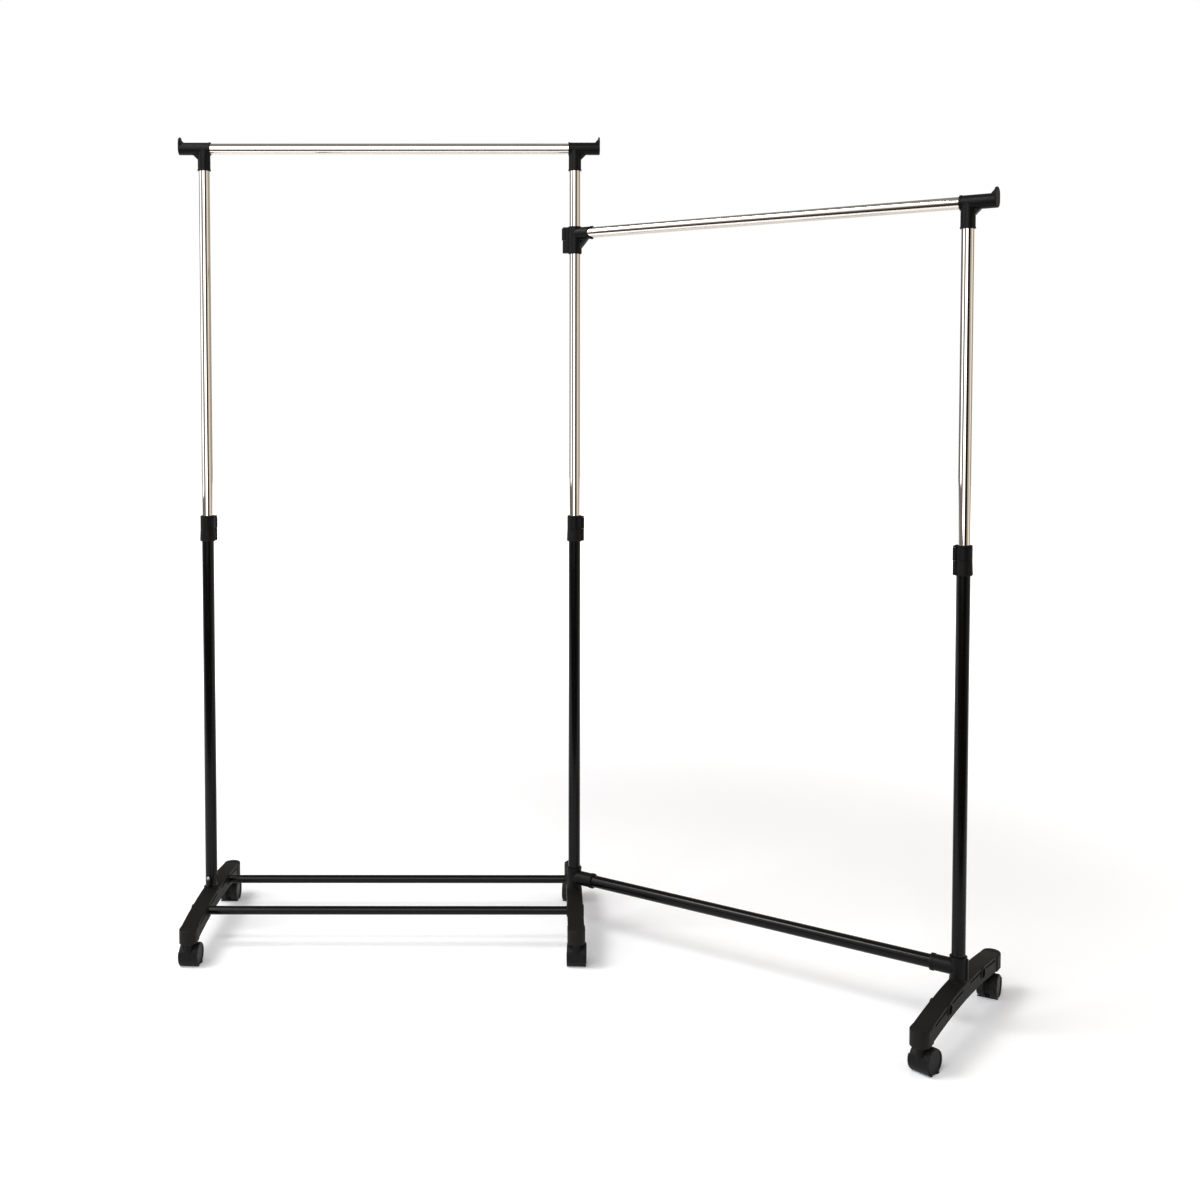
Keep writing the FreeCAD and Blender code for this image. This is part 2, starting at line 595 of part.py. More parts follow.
# ---------------------------------------------------------------------- assembly
def build():
    """All nodes by name, each in its place."""
    nodes = {}
    foot_shape = foot()
    wing_turn = wing_angle
    posts = {"left": (LEFT_POST, 0.0), "middle": (MIDDLE_POST, 0.0), "right": (RIGHT_POST, wing_turn)}
    for name, (at, turn) in posts.items():
        nodes[name + "_foot"] = placed(foot_shape, at, turn)

    rod_start = LEFT_POST.x + rod_web / 2 + face_gap
    rod_length = post_spacing - rod_web - 2 * face_gap
    for name, y in (("front_rod", -rod_offset), ("rear_rod", rod_offset)):
        nodes[name] = ring(rod_r, rod_r - rod_wall, rod_length, V(rod_start, y, rod_z), X_AXIS)

    collar = height_collar()
    lever = collar_lever()
    pin = lever_pin(pin_reach, pin_start, collar_h - pin_cover)
    settings = {
        "left": (main_collar_z, main_rail_z, left_ear_angle, False),
        "middle": (main_collar_z, main_rail_z, middle_ear_angle, False),
        "right": (wing_collar_z, wing_rail_z, right_ear_angle, True),
    }
    pins, glides = {}, {}
    for name, (collar_z, rail_z, ear, mirrored) in settings.items():
        at = posts[name][0]
        up = V(0, 0, collar_z)
        nodes[name + "_lower_tube"] = placed(lower_tube(collar_z), at)
        nodes[name + "_upper_tube"] = placed(upper_tube(collar_z, rail_z), at)
        nodes[name + "_height_collar"] = placed(handed(collar, mirrored), at + up, ear)
        nodes[name + "_cam_lever"] = placed(handed(lever, mirrored), at + up, ear)
        pins[name] = placed(pin, at + up, ear)
        glides[name] = placed(tube_glide(collar_z), at)
    nodes["main_lever_pins"] = Part.makeCompound([pins["left"], pins["middle"]])
    nodes["right_lever_pin"] = pins["right"]
    nodes["main_tube_glides"] = Part.makeCompound([glides["left"], glides["middle"]])
    nodes["right_tube_glide"] = glides["right"]

    bolt = foot_bolt()
    nodes["main_foot_bolts"] = Part.makeCompound([placed(bolt, LEFT_POST), placed(bolt, MIDDLE_POST)])
    nodes["right_foot_bolt"] = placed(bolt, RIGHT_POST)
    screw = placed(post_screw(), LEFT_POST, -105.0)
    nodes["left_post_screw"] = screw
    nodes["left_lower_tube"] = nodes["left_lower_tube"].cut(screw)
    nodes["left_foot"] = nodes["left_foot"].cut(screw)

    connector = top_connector()
    rail_reach = stub_length - stub_floor - face_gap
    main_up, wing_up = V(0, 0, main_rail_z), V(0, 0, wing_rail_z)
    nodes["left_top_connector"] = placed(connector, LEFT_POST + main_up, 180.0)
    nodes["middle_top_connector"] = placed(connector, MIDDLE_POST + main_up)
    nodes["right_top_connector"] = placed(connector, RIGHT_POST + wing_up, wing_turn)
    nodes["main_rail"] = placed(hanging_rail(-post_spacing - rail_reach, rail_reach), main_up)
    wing_start = clamp_rail_start + seat_gap
    nodes["wing_rail"] = placed(hanging_rail(wing_start, wing_reach + rail_reach), wing_up, wing_turn)
    nodes["swivel_clamp"] = placed(swivel_clamp(), wing_up, wing_turn)
    nodes["clamp_liner"] = placed(clamp_liner(), wing_up, wing_turn)
    clamp_turn = wing_turn + clamp_ear_angle
    nodes["clamp_lever"] = placed(clamp_lever(), wing_up, clamp_turn)
    clamp_pin = lever_pin(clamp_pin_reach, clamp_pin_start, clamp_above)
    nodes["clamp_lever_pin"] = placed(clamp_pin, wing_up, clamp_turn)

    nodes["middle_swivel_tee"] = placed(bottom_tee(lower_r + running, False), MIDDLE_POST, wing_turn)
    nodes["right_tee"] = placed(bottom_tee(lower_r, True), RIGHT_POST, wing_turn + 180.0)
    bar_start = tee_r + tee_floor + seat_gap
    bar = ring(lower_r, lower_bore, wing_reach - 2 * bar_start, V(bar_start, 0, wing_bar_z), X_AXIS)
    nodes["wing_lower_bar"] = placed(bar, V(0, 0, 0), wing_turn)

    hood, caster_pin_set = caster_hood(), caster_pins()
    for name, angle in caster_angles.items():
        post_name, end = name.split("_")
        at, turn = posts[post_name]
        side = -1 if end == "front" else 1
        stem = placed(Part.Vertex(0, side * stem_offset, 0), at, turn).Point
        nodes[name + "_caster_hood"] = placed(hood, stem, angle)
        nodes[name + "_caster_pins"] = placed(caster_pin_set, stem, angle)
        nodes[name + "_caster_wheel_a"] = placed(caster_wheel(1), stem, angle)
        nodes[name + "_caster_wheel_b"] = placed(caster_wheel(-1), stem, angle)
    return nodes


os.makedirs("parts", exist_ok=True)
model = build()
for node_name, node_shape in model.items():
    node_shape.exportStep(os.path.join("parts", node_name + ".step"))
print(len(model), "nodes written")
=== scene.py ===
# %% [markdown]
# # A two-bay clothes rail on casters
#
# The real thing is a rolling rack: two feet with four casters carry a straight bay
# of chrome and black tubes, and a lower wing bay hangs on the shared middle post.
# Everything here stands in the frame of the imported model: metres, +Z up, the origin
# on the floor under the middle post. The first step loads that frame.

import json
import math

import bmesh
import bpy
import numpy as np
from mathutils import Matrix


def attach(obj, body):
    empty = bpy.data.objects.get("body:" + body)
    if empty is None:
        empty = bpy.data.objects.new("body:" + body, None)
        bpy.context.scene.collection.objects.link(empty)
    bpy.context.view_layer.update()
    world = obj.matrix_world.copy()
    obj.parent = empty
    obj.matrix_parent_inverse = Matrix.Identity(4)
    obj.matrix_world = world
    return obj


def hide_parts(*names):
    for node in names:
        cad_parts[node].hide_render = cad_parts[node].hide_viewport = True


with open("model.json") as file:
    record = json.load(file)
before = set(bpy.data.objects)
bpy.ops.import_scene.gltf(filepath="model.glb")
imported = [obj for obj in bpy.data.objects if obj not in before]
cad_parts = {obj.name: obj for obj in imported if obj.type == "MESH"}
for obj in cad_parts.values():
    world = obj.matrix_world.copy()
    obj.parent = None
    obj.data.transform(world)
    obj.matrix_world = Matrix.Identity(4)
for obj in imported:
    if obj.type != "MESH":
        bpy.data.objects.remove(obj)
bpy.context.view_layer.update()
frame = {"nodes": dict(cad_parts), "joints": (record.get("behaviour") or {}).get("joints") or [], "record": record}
nodes = frame["nodes"]
slot_of = {s["node"]: s["material_slot"] for s in frame["record"]["subparts"]}
body_of = {n: body for body, names in frame["record"]["behaviour"]["bodies"].items() for n in names}
joint_of = {j["name"]: j for j in frame["joints"]}

# %% [markdown]
# ## Shader sums that read like sums
#
# Every finish below is a small calculation: a noise gives lines in the plate, a mask
# gives rubbed edges, and both change the roughness. Node trees hide such sums in
# boxes and wires. A Wire here stands for one socket, and adding or multiplying wires
# adds the Math nodes, so the finish can be read as a formula. Colours go through Mix
# and places through Vector Math, because Math would turn them grey.

# %% Wire and Finish
class Wire:
    """One output socket. Arithmetic on wires adds Math nodes to the finish they belong to."""

    def __init__(self, finish, socket):
        self.finish, self.socket = finish, socket

    def maths(self, operation, first, second):
        return self.finish.node("Math", {"operation": operation}, {0: first, 1: second})

    def __add__(self, other):
        return self.maths("ADD", self, other)

    def __sub__(self, other):
        return self.maths("SUBTRACT", self, other)

    def __rsub__(self, other):
        return self.maths("SUBTRACT", other, self)

    def __mul__(self, other):
        return self.maths("MULTIPLY", self, other)

    __radd__, __rmul__ = __add__, __mul__


class Finish:
    """A material with its nodes. Plain numbers are set on the shader; wires are linked to it."""

    def __init__(self, name, **constants):
        self.material = bpy.data.materials.new(name)
        self.material.use_nodes = True
        self.tree = self.material.node_tree
        self.shader = self.tree.nodes["Principled BSDF"]
        for socket, value in constants.items():
            self.shader.inputs[socket.replace("_", " ")].default_value = value

    def node(self, kind, settings=None, sockets=None, out=0):
        """Any node: its type, its settings first, then the values or links of its sockets."""
        made = self.tree.nodes.new("ShaderNode" + kind)
        for key, value in (settings or {}).items():
            setattr(made, key, value)
        for key, value in (sockets or {}).items():
            self.plug(made.inputs[key], value)
        return Wire(self, made.outputs[out])

    def plug(self, socket, value):
        if isinstance(value, Wire):
            self.tree.links.new(value.socket, socket)
        else:
            socket.default_value = value

    def set(self, socket, value):
        self.plug(self.shader.inputs[socket], value)

    def place(self):
        """Object coordinates: metres in the frame of the rack."""
        return self.node("TexCoord", out="Object")

    def lay(self):
        """The turned attribute of a lathe piece: across, across, along its own axis."""
        return self.node("Attribute", {"attribute_name": "turned"}, out="Vector")

    def stretch(self, where, factors):
        return self.node("VectorMath", {"operation": "MULTIPLY"}, {0: where, 1: factors})

    def noise(self, where, scale, detail=2.0, roughness=0.5):
        return self.node("TexNoise", {}, {"Vector": where, "Scale": scale, "Detail": detail,
                                          "Roughness": roughness})

    def step(self, value, low, high):
        """0 below low, 1 above high, and a smooth rise between."""
        return self.node("MapRange", {"interpolation_type": "SMOOTHSTEP"},
                         {"Value": value, "From Min": low, "From Max": high})

    def mix(self, factor, first, second):
        """From the first colour to the second as the factor goes from 0 to 1."""
        sockets = {0: factor, 6: (*first, 1), 7: (*second, 1)}
        return self.node("Mix", {"data_type": "RGBA"}, sockets, out=2)

    def bump(self, height, distance, strength=1.0, under=None):
        sockets = {"Height": height, "Distance": distance, "Strength": strength}
        if under is not None:
            sockets["Normal"] = under
        return self.node("Bump", {}, sockets)


print("Wire sums and Finish are ready")

# %% [markdown]
# ## Bright nickel plate for the hanging rails and telescoping tubes
#
# Plated tube is drawn and then polished along its length. What the eye reads as
# chrome is the room in it: a bright band, a thin dark line, a warm band. The plate
# itself only adds very fine lines along the tube, a faint cloudiness, and a few dull
# smears where hands and hangers have been. The lines follow each tube's own axis, so
# the pattern is read from the attribute that the lathe pieces carry.

# %% Nickel plate
def nickel_plate():
    finish = Finish("nickel_plate", Metallic=1.0, Specular_Tint=(0.55, 0.53, 0.51, 1.0))
    lay = finish.lay()
    lines = finish.noise(finish.stretch(lay, (1.0, 1.0, 0.002)), 2400.0, 3.0)
    clouds = finish.noise(lay, 16.0, 3.0)
    smears = finish.step(finish.noise(finish.stretch(lay, (1.0, 1.0, 0.35)), 70.0, 5.0, 0.6), 0.58, 0.76)
    finish.set("Base Color", finish.mix(clouds, (0.80, 0.765, 0.72), (0.72, 0.685, 0.64)))
    finish.set("Roughness", 0.02 + 0.02 * clouds + 0.015 * lines + 0.06 * smears)
    finish.set("Normal", finish.bump(lines, 0.0000002))
    return finish.material


# %% [markdown]
# ## Gloss black powder coat, and the paint of the floor rods
#
# Powder melts into a skin that is glossy but never quite flat: it keeps a soft orange
# peel about two millimetres across. The rods are dipped in thinner paint, so their
# peel is finer and their gloss higher. Dust settles on both as a slightly rougher,
# slightly greyer film in patches.

# %% Black coats
def black_coat(name, gloss, peel_scale, peel_depth):
    finish = Finish(name, Specular_IOR_Level=0.26, IOR=1.5)
    lay = finish.lay()
    peel = finish.noise(lay, peel_scale, 1.5)
    dust = finish.step(finish.noise(finish.stretch(lay, (1.0, 1.0, 0.2)), 38.0, 5.0, 0.62), 0.5, 0.78)
    specks = finish.step(finish.noise(lay, 1500.0, 1.0), 0.70, 0.78)
    finish.set("Base Color", finish.mix(0.55 * dust + 0.3 * specks, (0.0025, 0.0025, 0.0026),
                                        (0.012, 0.0115, 0.0108)))
    finish.set("Roughness", gloss + 0.10 * dust + 0.05 * peel)
    finish.set("Normal", finish.bump(peel, peel_depth))
    return finish.material


# %% [markdown]
# ## Moulded plastics
#
# All fittings are black plastic, but not the same black. The connectors and the
# clamp come from a fairly smooth mould and have a satin shine. The height collars
# and the casters are duller. The feet have the coarse sand-blasted texture that
# hides scratches. One function makes them all, from a grain size, a grain depth and
# a base roughness. Edges are paler and shinier: partly rubbed wear, and partly a
# painted highlight along the edges. The Bevel node gives a softened normal, and where
# it differs from the true one there is an edge.

# %% Moulded plastic
def moulding(name, colour, rubbed_and_highlit, rough, grain_scale, grain_depth, soft_edge=0.0006):
    finish = Finish(name, Specular_IOR_Level=0.18, IOR=1.49)
    place = finish.place()
    soft = finish.node("Bevel", {"samples": 6}, {"Radius": soft_edge})
    true = finish.node("NewGeometry", out="Normal")
    agree = finish.node("VectorMath", {"operation": "DOT_PRODUCT"}, {0: soft, 1: true}, out="Value")
    scuff = finish.noise(place, 260.0, 4.0, 0.65)
    # edge: the edge mask, in patches. Its paler colour is partly rubbed wear and partly a painted edge highlight.
    edge = finish.step(1.0 - agree, 0.01, 0.20) * finish.step(scuff, 0.30, 0.62)
    grain = finish.noise(place, grain_scale, 2.0, 0.6)
    flow = finish.noise(place, 22.0, 3.0)
    lint = finish.step(finish.noise(place, 900.0, 2.0), 0.69, 0.76)
    # The pale colour comes in with mould flow, lint and the edges, and at the edges it is partly a painted
    # highlight.
    finish.set("Base Color", finish.mix(0.30 * flow + 0.55 * edge + 0.35 * lint, colour, rubbed_and_highlit))
    finish.set("Roughness", rough + 0.10 * flow + 0.08 * grain - 0.14 * edge)
    finish.set("Normal", finish.bump(grain, grain_depth, 1.0, soft))
    return finish.material


# %% [markdown]
# ## Hard caster wheels
#
# A caster wheel is turned round its axle in every sense: the mould leaves fine rings
# on its face, and rolling greys the tread while the face stays clean. Both follow the
# distance from the axle, which is the length of the first two numbers of the lathe
# attribute.

# %% Caster wheels
def wheel_plastic(tread_start, rim):
    finish = Finish("wheel_plastic", Specular_IOR_Level=0.22, IOR=1.5)
    lay = finish.lay()
    radius = finish.node("VectorMath", {"operation": "LENGTH"},
                         {0: finish.stretch(lay, (1.0, 1.0, 0.0))}, out="Value")
    rings = finish.node("Math", {"operation": "SINE"}, {0: 9000.0 * radius})
    grain = finish.noise(lay, 1400.0, 2.0, 0.6)
    scuff = finish.noise(lay, 240.0, 4.0, 0.65)
    worn = finish.step(radius, tread_start, rim) * finish.step(scuff, 0.36, 0.62)
    finish.set("Base Color", finish.mix(0.75 * worn + 0.2 * scuff, (0.0050, 0.0050, 0.0052),
                                        (0.030, 0.029, 0.027)))
    finish.set("Roughness", 0.34 + 0.12 * scuff + 0.25 * worn)
    finish.set("Normal", finish.bump(grain + 0.25 * rings, 0.00002))
    return finish.material


# %% [markdown]
# ## Zinc-plated pins and nylon bushes
#
# The axles, stems, lever pins, bolts and the post screw are zinc-plated steel, dull
# grey with fine lines from the wire they are cut from. The glides and the clamp's
# liner are black nylon with a soft, slightly greasy sheen, and they are a moulding
# like the others.

# %% Zinc
def zinc(name):
    finish = Finish(name, Metallic=1.0)
    place = finish.place()
    lines = finish.noise(finish.stretch(place, (1.0, 1.0, 0.05)), 2600.0, 3.0)
    bloom = finish.noise(place, 300.0, 4.0, 0.6)
    finish.set("Base Color", finish.mix(bloom, (0.56, 0.56, 0.57), (0.42, 0.42, 0.44)))
    finish.set("Roughness", 0.20 + 0.16 * bloom + 0.10 * lines)
    finish.set("Normal", finish.bump(lines, 0.00001))
    return finish.material


# %% [markdown]
# ## Measuring a round piece on its own CAD node
#
# A tube's length, place and radius are all in its node's mesh, so nothing is typed
# twice. The mesh is projected on the piece's axis: the lowest and highest values are
# its ends, and the greatest distance from the axis is its radius.

# %% Measure
def corners_of(node):
    """All vertices of a CAD node as one array."""
    mesh = nodes[node].data
    flat = np.empty(len(mesh.vertices) * 3, np.float32)
    mesh.vertices.foreach_get("co", flat)
    return flat.reshape(-1, 3).astype(float)


def spindle(node, axis, through=None):
    """Start point, unit axis, length and outside radius of a round node.

    A point's place along the axis is its dot product with the axis. What is left
    of it after that part is taken away is its distance from the axis."""
    points = corners_of(node)
    axis = np.asarray(axis, float) / np.linalg.norm(axis)
    centre = (points.min(0) + points.max(0)) / 2 if through is None else np.asarray(through, float)
    along = (points - centre) @ axis
    across = points - centre - along[:, None] * axis
    radius = np.linalg.norm(across, axis=1).max()
    return centre + axis * along.min(), axis, along.max() - along.min(), radius


up = (0.0, 0.0, 1.0)
middle_post = spindle("middle_lower_tube", up)
right_post = spindle("right_lower_tube", up)
wing_axis = (right_post[0] - middle_post[0]) * (1.0, 1.0, 0.0)
print("wing bay", round(float(np.linalg.norm(wing_axis)), 4), "m long, turned",
      round(math.degrees(math.atan2(wing_axis[1], wing_axis[0])), 2), "degrees")

# %% [markdown]
# ## Turning on a lathe
#
# Tubes, wheels and screws are all surfaces of revolution: an outline of radius and
# distance along the axis, carried round that axis. A real edge is never sharp, so the
# outline's corners are first replaced by small arcs. That is where highlights
# live, and it is why a turned part looks made and a plain cylinder does not.

# %% Outline and lathe
def eased(outline, radii, steps=5):
    """Outline whose corners are arcs, as rows of (radius, along).

    At each corner the two sides meet at some angle. A circle of the wanted radius
    touches both sides at radius / tan(half the angle) from the corner, and the arc
    turns evenly from one touching point to the other. One more point just outside
    each end keeps the straight sides straight in the shading."""
    here = np.asarray(outline, float)
    radii = np.broadcast_to(np.asarray(radii, float), len(here))[:, None]
    back, ahead = np.roll(here, 1, axis=0) - here, np.roll(here, -1, axis=0) - here
    back /= np.linalg.norm(back, axis=1, keepdims=True)
    ahead /= np.linalg.norm(ahead, axis=1, keepdims=True)
    half = np.arccos(np.clip((back * ahead).sum(1, keepdims=True), -1, 1)) / 2
    reach = radii / np.tan(half)
    middle = back + ahead
    centre = here + middle / np.linalg.norm(middle, axis=1, keepdims=True) * radii / np.sin(half)
    first, last = here + back * reach - centre, here + ahead * reach - centre
    turn = math.pi - 2 * half[:, :, None]
    share = np.linspace(0, 1, steps)[None, :, None]
    arc = np.sin((1 - share) * turn) * first[:, None] + np.sin(share * turn) * last[:, None]
    arc /= np.sin(turn)
    near = (here + back * reach * 1.6)[:, None]
    far = (here + ahead * reach * 1.6)[:, None]
    return np.concatenate([near, centre[:, None] + arc, far], axis=1).reshape(-1, 2)


pole = 0.00002      # radius of the tiny ring that stands for a point on the axis


def lathe(name, outline, start, axis, around=96, solid=False):
    """Closed outline turned round an axis; a solid one starts and ends at a pole.

    Point = start + along * axis + radius * (cosine * one side + sine * other side),
    for every outline row and every angle at once. The attribute called turned keeps
    (radius * cosine, radius * sine, along) for the finish."""
    axis = np.asarray(axis, float)
    side = np.cross(axis, (0.0, 0.0, 1.0) if abs(axis[2]) < 0.9 else (1.0, 0.0, 0.0))
    side /= np.linalg.norm(side)
    other = np.cross(axis, side)
    angle = np.linspace(0, 2 * math.pi, around, endpoint=False)
    radius, along = outline[:, :1], outline[:, 1:]
    own = np.stack(np.broadcast_arrays(radius * np.cos(angle), radius * np.sin(angle), along), axis=-1)
    points = np.asarray(start, float) + own @ np.stack([side, other, axis])
    return skin(name, points, own, solid)


def skin(name, points, own, solid=False):
    """Mesh object over a grid of points, faces outwards.

    Columns close on themselves. Rows do too, unless the piece is solid. The volume
    inside is the sum of each triangle's corner . (corner x corner) / 6: if it comes
    out negative the faces are turned over."""
    rows, columns = points.shape[:2]
    index = np.arange(rows * columns).reshape(rows, columns)
    below, beside = np.roll(index, -1, axis=0), np.roll(index, -1, axis=1)
    quads = np.stack([index, below, np.roll(below, -1, axis=1), beside], axis=-1)
    quads = (quads[:-1] if solid else quads).reshape(-1, 4)
    flat = points.reshape(-1, 3)
    a, b, c, d = (flat[quads[:, k]] for k in range(4))
    volume = (a * np.cross(b, c)).sum() + (a * np.cross(c, d)).sum()
    mesh = bpy.data.meshes.new(name)
    mesh.from_pydata(flat, [], quads if volume > 0 else quads[:, ::-1])
    carried = mesh.attributes.new("turned", "FLOAT_VECTOR", "POINT")
    carried.data.foreach_set("vector", own.reshape(-1).astype(np.float32))
    mesh.shade_smooth()
    mesh.update()
    piece = bpy.data.objects.new(name, mesh)
    bpy.context.scene.collection.objects.link(piece)
    return piece


def fit(piece, node, material, body=None):
    """The piece stands for a node: it rides on its body and takes a finish, and the node is hidden."""
    piece.data.materials.append(material)
    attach(piece, body or body_of[node])
    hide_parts(node)
    return piece


def close_poles(piece):
    """Each tiny end ring of a solid piece is merged to one point."""
    work = bmesh.new()
    work.from_mesh(piece.data)
    bmesh.ops.remove_doubles(work, verts=work.verts, dist=1.5 * pole)
    bmesh.ops.recalc_face_normals(work, faces=work.faces)
    work.to_mesh(piece.data)
    work.free()
    return piece


# %% [markdown]
# ## The tubes
#
# Ten tubes and rods carry the rack. Each is one closed skin: outside wall, rounded
# lip, inside wall, and the other lip. The wall is 1 mm thick in the chrome tubes and
# 1.2 mm in the black ones, which shows wherever the mouth of a tube is open.

# %% Turn the tubes
chrome = nickel_plate()
powder = black_coat("black_powder_coat", 0.15, 520.0, 0.000035)
rod_paint = black_coat("rod_paint", 0.11, 900.0, 0.000015)
chrome_wall, black_wall = 0.0010, 0.0012


def tube(node, axis, wall, material, lip=0.00035):
    start, axis, length, radius = spindle(node, axis)
    bore = radius - wall
    outline = eased([(bore, 0.0), (radius, 0.0), (radius, length), (bore, length)], lip)
    piece = fit(lathe(node + "_turned", outline, start, axis), node, material)
    print(f"{node}: {length * 1000:.0f} mm long, {radius * 2000:.1f} mm across")
    return piece


for post in ("left", "middle", "right"):
    tube(post + "_upper_tube", up, chrome_wall, chrome)
    tube(post + "_lower_tube", up, black_wall, powder)
tube("main_rail", (1, 0, 0), chrome_wall, chrome)
tube("wing_rail", wing_axis, chrome_wall, chrome)
tube("wing_lower_bar", wing_axis, black_wall, powder)
for rod in ("front_rod", "rear_rod"):
    tube(rod, (1, 0, 0), black_wall, rod_paint)

# %% [markdown]
# ## The caster wheels
#
# Each caster has two hard plastic wheels on one axle. The tread is a narrow band with
# rounded shoulders, and the outer face is a plain shallow dish inside a raised rim:
# the axle ends in a blind bore behind it. The twelve are turned from one outline.
# Each is put on its own spin joint, whose position and axis are in the frame.

# %% Turn the wheels
def caster_wheel(node, joint):
    """Outline from the blind end of the bore, round the rim, to the middle of the closed face."""
    start, axis, w, radius = spindle(node, joint["axis"], joint["pos_m"])
    if np.dot(start + axis * w / 2 - joint["pos_m"], axis) < 0:
        start, axis = start + axis * w, -axis
    bore, dish, cap, sharp = 0.00308, w - 0.0014, 0.0025, 0.000001
    hole = [(pole, dish - cap), (bore, dish - cap), (bore, 0.0)]
    tread = [(radius - 0.0017, 0.0), (radius, 0.0020), (radius, w - 0.0022), (radius - 0.0014, w)]
    face = [(radius - 0.0032, w), (radius - 0.0048, dish), (pole, dish)]
    rounds = [sharp, 0.0003, 0.0003, 0.0010, 0.0012, 0.0016, 0.0006, 0.0005, 0.0006, sharp]
    outline = eased(hole + tread + face, rounds)
    turned = lathe(node + "_turned", outline, start, axis, around=112, solid=True)
    return close_poles(fit(turned, node, rolling))


wheel_radius = spindle("left_front_caster_wheel_a", joint_of["left_front_wheel_a_spin"]["axis"],
                       joint_of["left_front_wheel_a_spin"]["pos_m"])[3]
rolling = wheel_plastic(wheel_radius - 0.0026, wheel_radius - 0.0006)
for caster in ("left_front", "left_rear", "middle_front", "middle_rear", "right_front", "right_rear"):
    for twin in "ab":
        caster_wheel(f"{caster}_caster_wheel_{twin}", joint_of[f"{caster}_wheel_{twin}_spin"])
print("twelve wheels,", round(wheel_radius * 2000, 1), "mm across")

# %% [markdown]
# ## The screw in the left post
#
# A short pan-head screw holds the left tube on its foot, and its domed head catches
# the light. The head is a height over a disc: a dome, less a cross-shaped recess.
# A cross is where either coordinate is small, and a smooth fall makes its walls lean
# as a real driver recess does.

# %% Shape the screw
def smooth_fall(x, low, high):
    """1 below low, 0 above high: 1 - 3t^2 + 2t^3 between, with t the share of the way."""
    t = np.clip((x - low) / (high - low), 0, 1)
    return 1 - t * t * (3 - 2 * t)


def post_screw(node, post):
    """Rows run down the shank's axis, out under the head, over its edge and in to the crown.

    Crown height = dome height * square root(1 - (r / head)^2 * 0.96), less the recess
    depth times the cross mask, which fades towards the end of its arms."""
    box = corners_of(node)
    middle = (box.min(0) + box.max(0)) / 2
    axis = (middle - post[0]) * (1.0, 1.0, 0.0)
    axis /= np.linalg.norm(axis)
    start, axis, length, head = spindle(node, axis, middle)
    shank, crown = head * 0.5, 0.0021
    angle = np.linspace(0, 2 * math.pi, 144, endpoint=False)
    r = np.linspace(head * 0.985, pole, 60)[:, None]
    x, y = r * np.cos(angle), r * np.sin(angle)
    cross = smooth_fall(np.minimum(abs(x), abs(y)), 0.00032, 0.00062) * smooth_fall(r, 0.0016, 0.0021)
    dome = np.sqrt(1 - (r / head) ** 2 * 0.96)
    top = length - crown + crown * dome - 0.0011 * cross
    under = length - crown
    foot = np.array([(pole, 0.0), (shank - 0.0003, 0.0), (shank, 0.0003), (shank, under - 0.0002),
                     (head - 0.0002, under), (head, under + 0.0002)])
    rows = (len(foot), len(angle))
    reach = np.concatenate([np.broadcast_to(foot[:, :1], rows), np.broadcast_to(r, x.shape)])
    along = np.concatenate([np.broadcast_to(foot[:, 1:], rows), top])
    side = np.cross(axis, up)
    own = np.stack([reach * np.cos(angle), reach * np.sin(angle), along], axis=-1)
    points = start + own @ np.stack([side, np.cross(axis, side), axis])
    return close_poles(fit(skin(node + "_pan_head", points, own, True), node, steel))


steel = zinc("zinc_plate")
screw = post_screw("left_post_screw", spindle("left_lower_tube", up))
print("the screw has", len(screw.data.polygons), "faces")

# %% [markdown]
# ## Finishes for the moulded parts
#
# The feet, connectors, collars, clamp, levers and caster hoods keep their CAD shapes,
# which already have the right edges. They only need the right plastic. The slot in
# the record says which one each takes.

# %% Dress the CAD nodes
plastics = {
    "connector_plastic": moulding("connector_plastic", (0.0045, 0.0045, 0.0047), (0.026, 0.025, 0.024),
                                  0.30, 1500.0, 0.000020),
    "collar_plastic": moulding("collar_plastic", (0.0050, 0.0050, 0.0050), (0.027, 0.026, 0.025),
                               0.42, 1900.0, 0.000030),
    "foot_plastic": moulding("foot_plastic", (0.0085, 0.0080, 0.0072), (0.038, 0.035, 0.031),
                             0.46, 1100.0, 0.000060, 0.0009),
    "caster_hood_plastic": moulding("caster_hood_plastic", (0.0050, 0.0050, 0.0050),
                                    (0.027, 0.026, 0.025), 0.36, 1700.0, 0.000025),
    "lever_plastic": moulding("lever_plastic", (0.0042, 0.0042, 0.0047), (0.026, 0.026, 0.027),
                              0.28, 1500.0, 0.000018),
    "nylon": moulding("nylon", (0.018, 0.018, 0.018), (0.050, 0.049, 0.047), 0.50, 1300.0, 0.000020),
    "steel_pins": steel,
}
dressed = 0
for name, node in nodes.items():
    if not node.hide_render:
        for holder in node.material_slots:
            holder.material = plastics[slot_of[name]]
        dressed += 1
print(dressed, "CAD nodes dressed")

# %% [markdown]
# ## Floor
#
# The rack stands on a plain pale floor, which isn't part of the object. It is a wide
# disc, so that no corner shows. Its near edge is only a little in front of the rack:
# beyond it the studio is dark, and that is what draws the dark line under the bright
# band of a hanging rail. The lamps fade with distance, so the far floor is lit from
# within, and it stays as white as the backdrop.

